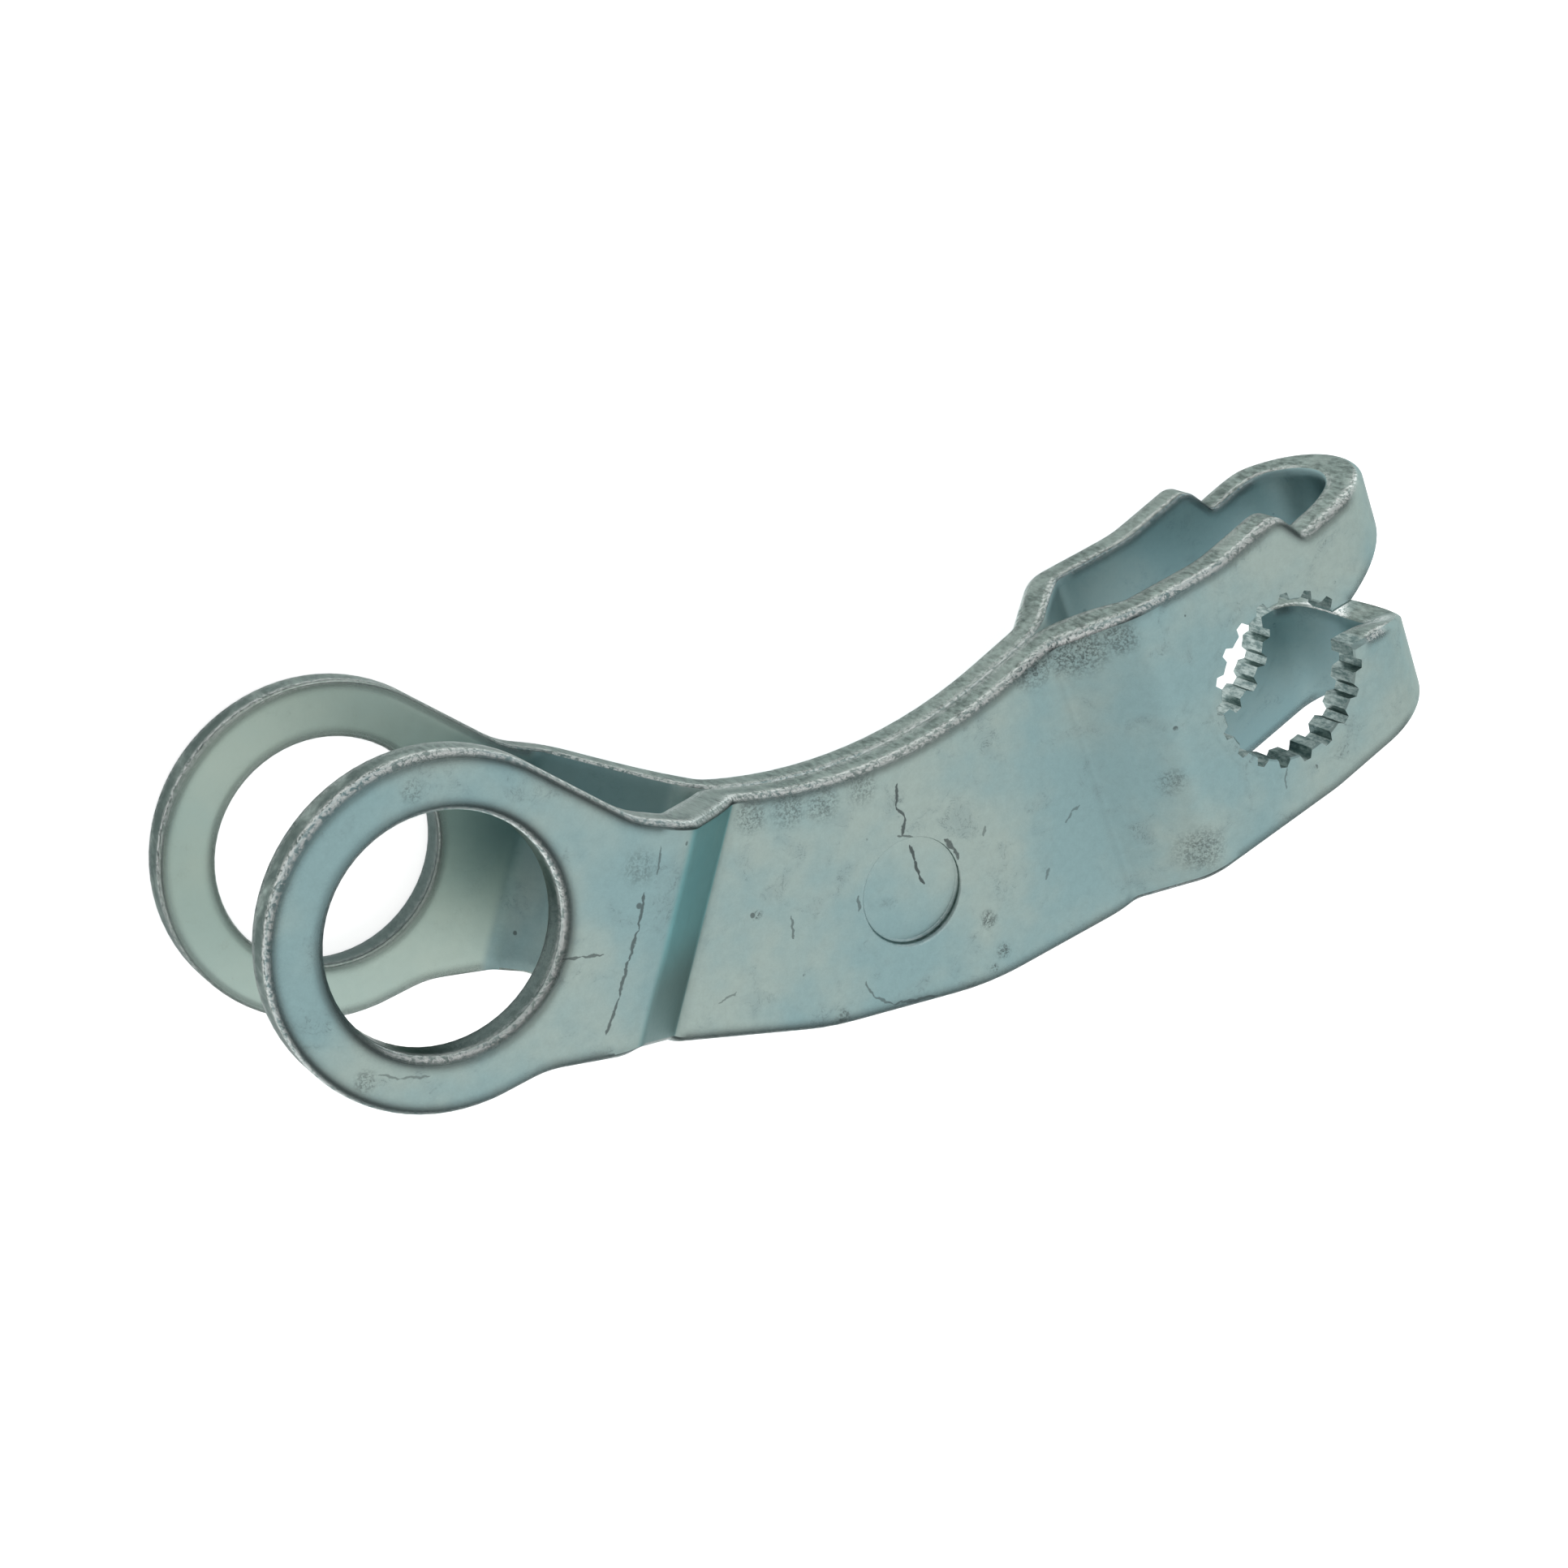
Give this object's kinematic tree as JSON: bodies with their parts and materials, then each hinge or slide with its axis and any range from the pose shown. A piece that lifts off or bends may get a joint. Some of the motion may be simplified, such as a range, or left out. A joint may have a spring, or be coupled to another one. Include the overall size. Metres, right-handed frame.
{
  "type": "drum brake cam lever",
  "caption": "Folded steel lever that turns a drum brake camshaft, with a splined pinch clamp at one end and a forked rod eye at the other.",
  "frame": {"origin": "centre of the splined camshaft hole, halfway between the two plates", "axes": "+Z along the camshaft, +X from the rod eyes towards the camshaft hole, +Y towards the pinch bolt's seat"},
  "size_m": [0.0897, 0.03, 0.0216],
  "materials": {
    "zinc_plated_steel": "satin clear zinc plate over pressed steel, faintly blue-green"
  },
  "bodies": {
    "root": {"cam_lever": "zinc_plated_steel"}
  },
  "joints": []
}
